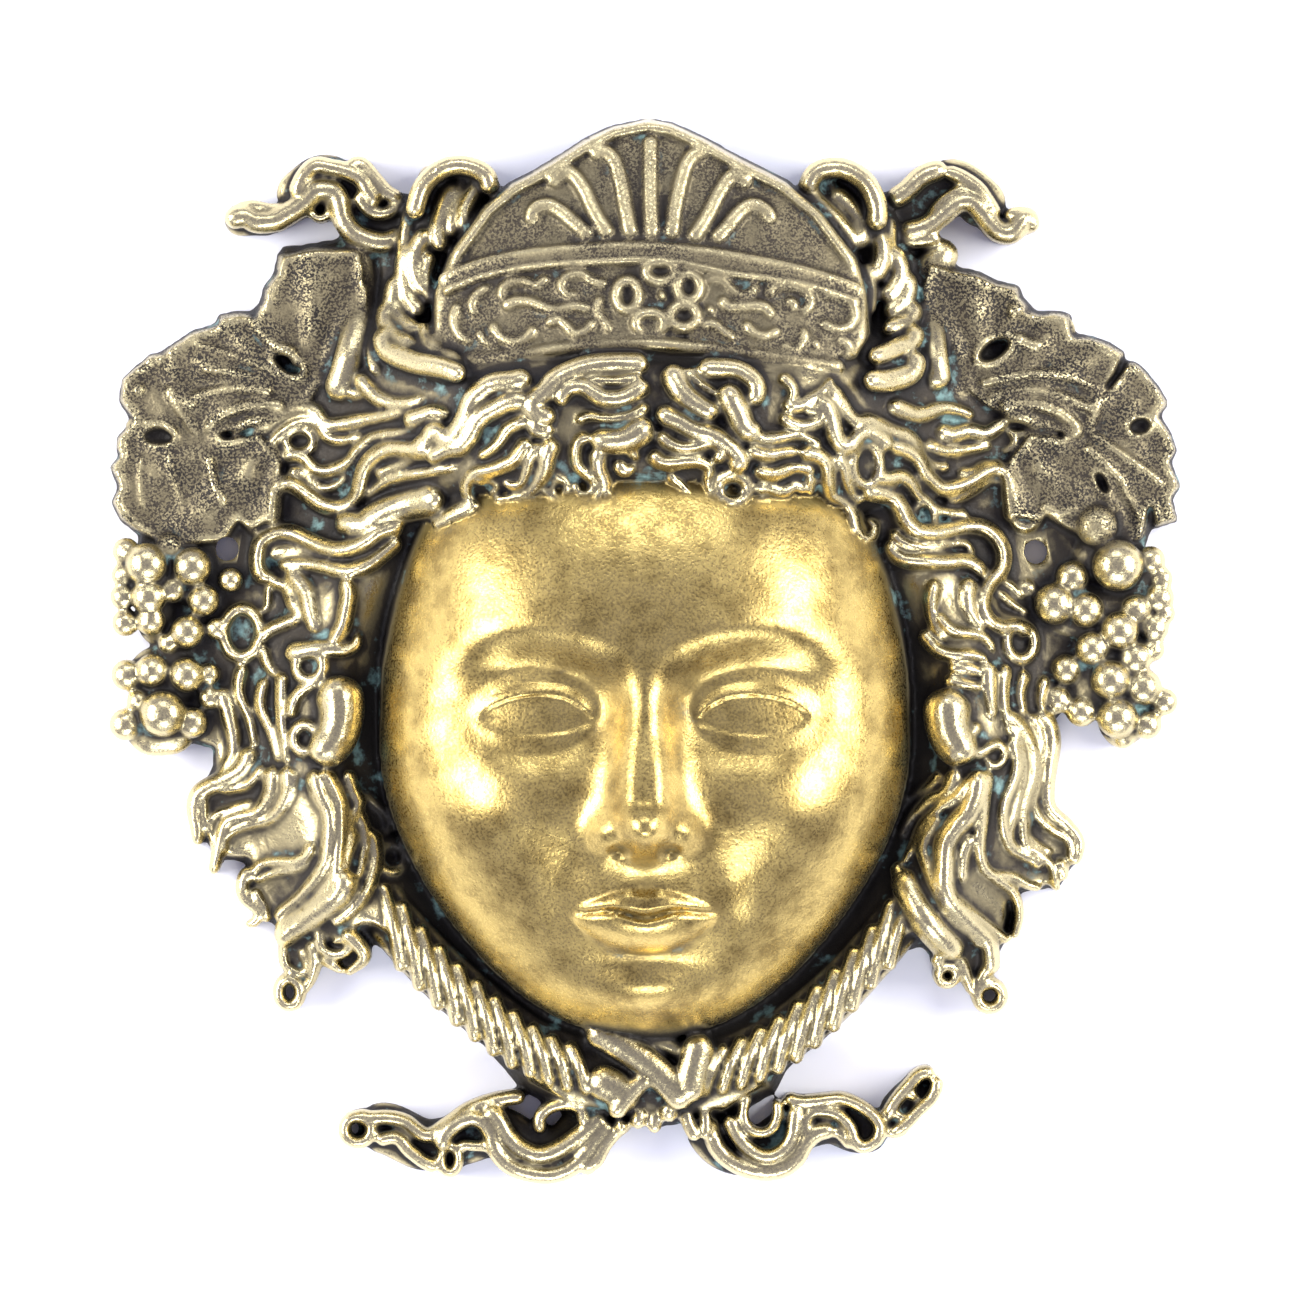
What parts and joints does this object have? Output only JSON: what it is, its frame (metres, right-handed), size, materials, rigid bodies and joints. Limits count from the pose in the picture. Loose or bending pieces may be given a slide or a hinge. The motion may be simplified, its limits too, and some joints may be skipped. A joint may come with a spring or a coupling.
{
  "type": "relief mask mount",
  "caption": "Cast brass mask mount: a calm face in waved hair with a low diadem, vine leaves, grapes and ribbons, hollow behind and flat-backed.",
  "frame": {"origin": "on the flat back plane, in the middle of the outline's box", "axes": "+Z out of the face, away from the back; +Y towards the diadem; +X to the right as one looks at the face"},
  "size_m": [0.1797, 0.1792, 0.0442],
  "materials": {
    "brass": "old polished cast brass, rubbed bright on the ridges, brown patina in the grooves"
  },
  "bodies": {
    "root": {"mask": "brass"}
  },
  "joints": []
}
